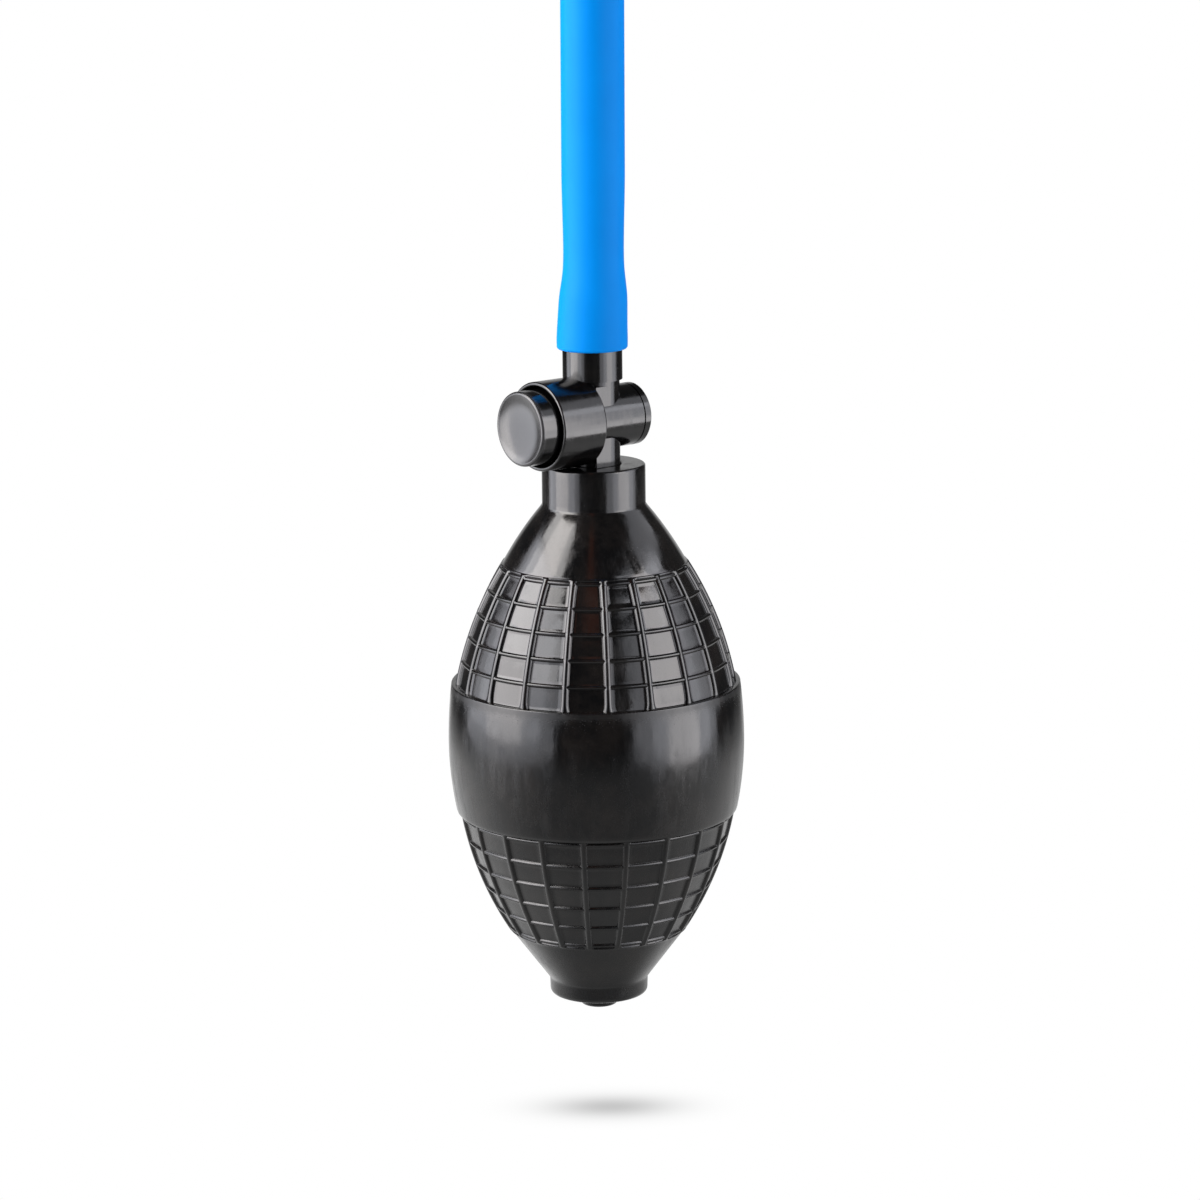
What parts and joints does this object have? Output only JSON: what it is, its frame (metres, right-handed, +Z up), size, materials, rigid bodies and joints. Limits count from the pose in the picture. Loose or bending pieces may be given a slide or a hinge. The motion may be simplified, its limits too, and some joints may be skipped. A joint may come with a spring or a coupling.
{
  "type": "ball inflation pump",
  "caption": "Hand squeeze-bulb pump with a ribbed rubber bulb, check valves, a push-button air release and a soft hose that ends in a push-in connector.",
  "frame": {"origin": "centre of the hose connector's shoulder, where its plain spigot begins", "axes": "+Z up along the spigot, the hose and the bulb's axis, which hang below the origin; -Y towards the release button's face"},
  "size_m": [0.05, 0.05, 0.193],
  "materials": {
    "bulb_rubber": "glossy moulded black rubber",
    "valve_plastic": "glossy moulded black plastic",
    "button_plastic": "satin to glossy black plastic",
    "hose_silicone": "satin blue silicone",
    "seal_rubber": "matt black nitrile rubber",
    "steel": "bright spring and ball steel",
    "brass": "turned brass",
    "clear_plastic": "natural white nylon"
  },
  "bodies": {
    "pump": {"bulb_shell": "bulb_rubber", "valve_body": "valve_plastic", "rear_cap": "valve_plastic", "rear_cap_seal": "seal_rubber", "outlet_valve_seat": "brass", "outlet_ball_cage": "clear_plastic", "intake_valve_body": "valve_plastic", "intake_ball_cage": "clear_plastic", "intake_filter": "steel", "hose": "hose_silicone", "hose_connector": "valve_plastic", "connector_grip": "valve_plastic"},
    "front_wall": {"bulb_front_wall": "bulb_rubber"},
    "back_wall": {"bulb_back_wall": "bulb_rubber"},
    "button": {"release_button": "button_plastic", "plunger_stem": "clear_plastic", "poppet_seal": "seal_rubber", "release_spring": "steel"},
    "outlet_check": {"outlet_ball": "steel"},
    "intake_check": {"intake_ball": "steel"}
  },
  "joints": [
    {"name": "bulb_front_squeeze", "type": "slide", "parent": "pump", "child": "front_wall", "axis": [0, 1, 0], "range_m": [0, 0.01], "stiffness_N_per_m": 1500},
    {"name": "bulb_back_squeeze", "type": "slide", "parent": "pump", "child": "back_wall", "axis": [0, -1, 0], "range_m": [0, 0.01], "stiffness_N_per_m": 1500},
    {"name": "release_button_press", "type": "slide", "parent": "pump", "child": "button", "axis": [0, 1, 0], "range_m": [0, 0.003], "stiffness_N_per_m": 1200, "deforming": ["release_spring"]},
    {"name": "outlet_ball_lift", "type": "slide", "parent": "pump", "child": "outlet_check", "axis": [0, 0, 1], "range_m": [0, 0.001]},
    {"name": "intake_ball_lift", "type": "slide", "parent": "pump", "child": "intake_check", "axis": [0, 0, 1], "range_m": [0, 0.001]}
  ],
  "couplings": [
    {"joint": "bulb_back_squeeze", "follows": "bulb_front_squeeze", "ratio": 1}
  ]
}
